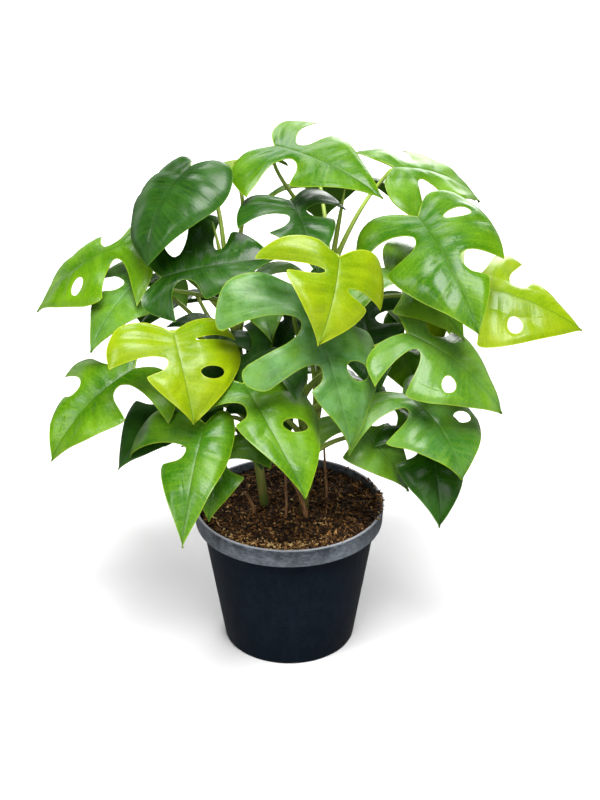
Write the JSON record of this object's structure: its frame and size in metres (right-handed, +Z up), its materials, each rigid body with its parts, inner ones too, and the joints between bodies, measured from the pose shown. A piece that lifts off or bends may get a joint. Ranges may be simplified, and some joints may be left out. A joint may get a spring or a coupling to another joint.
{
  "type": "potted mini monstera",
  "caption": "Small climbing aroid with glossy split and holed leaves on long petioles, growing in soil in a round tapered nursery pot with a rolled rim.",
  "frame": {"origin": "centre of the pot's base, on the plane it stands on", "axes": "+Z up along the pot's axis; -Y towards the plant's show side; +X to the viewer's right from there"},
  "size_m": [0.3346, 0.257, 0.3254],
  "materials": {
    "pot_plastic": "satin",
    "peat": "matte",
    "stem_green": "satin",
    "leaf_lime": "satin",
    "leaf_green": "satin",
    "leaf_deep": "satin",
    "dry_brown": "matte"
  },
  "bodies": {
    "root": {"pot": "pot_plastic", "soil": "peat", "shoot_front": "stem_green", "shoot_left": "stem_green", "shoot_back": "stem_green", "dry_sheath_1": "dry_brown", "dry_sheath_2": "dry_brown", "aerial_root_1": "dry_brown", "aerial_root_2": "dry_brown", "leaf_01": "leaf_green", "leaf_02": "leaf_green", "leaf_03": "leaf_lime", "leaf_04": "leaf_green", "leaf_05": "leaf_lime", "leaf_06": "leaf_deep", "leaf_07": "leaf_deep", "leaf_08": "leaf_green", "leaf_09": "leaf_green", "leaf_10": "leaf_deep", "leaf_11": "leaf_deep", "leaf_12": "leaf_green", "leaf_13": "leaf_green", "leaf_14": "leaf_deep", "leaf_15": "leaf_lime", "leaf_16": "leaf_green", "leaf_17": "leaf_green", "leaf_18": "leaf_lime", "leaf_19": "leaf_green", "leaf_20": "leaf_deep", "leaf_21": "leaf_green", "leaf_22": "leaf_green", "leaf_23": "leaf_deep", "leaf_24": "leaf_green", "leaf_25": "leaf_deep", "leaf_26": "leaf_deep", "leaf_27": "leaf_green", "leaf_28": "leaf_green", "leaf_29": "leaf_green", "leaf_30": "leaf_deep", "leaf_31": "leaf_green", "leaf_32": "leaf_green", "leaf_33": "leaf_deep", "leaf_34": "leaf_deep", "leaf_35": "leaf_green", "leaf_36": "leaf_green"}
  },
  "joints": []
}
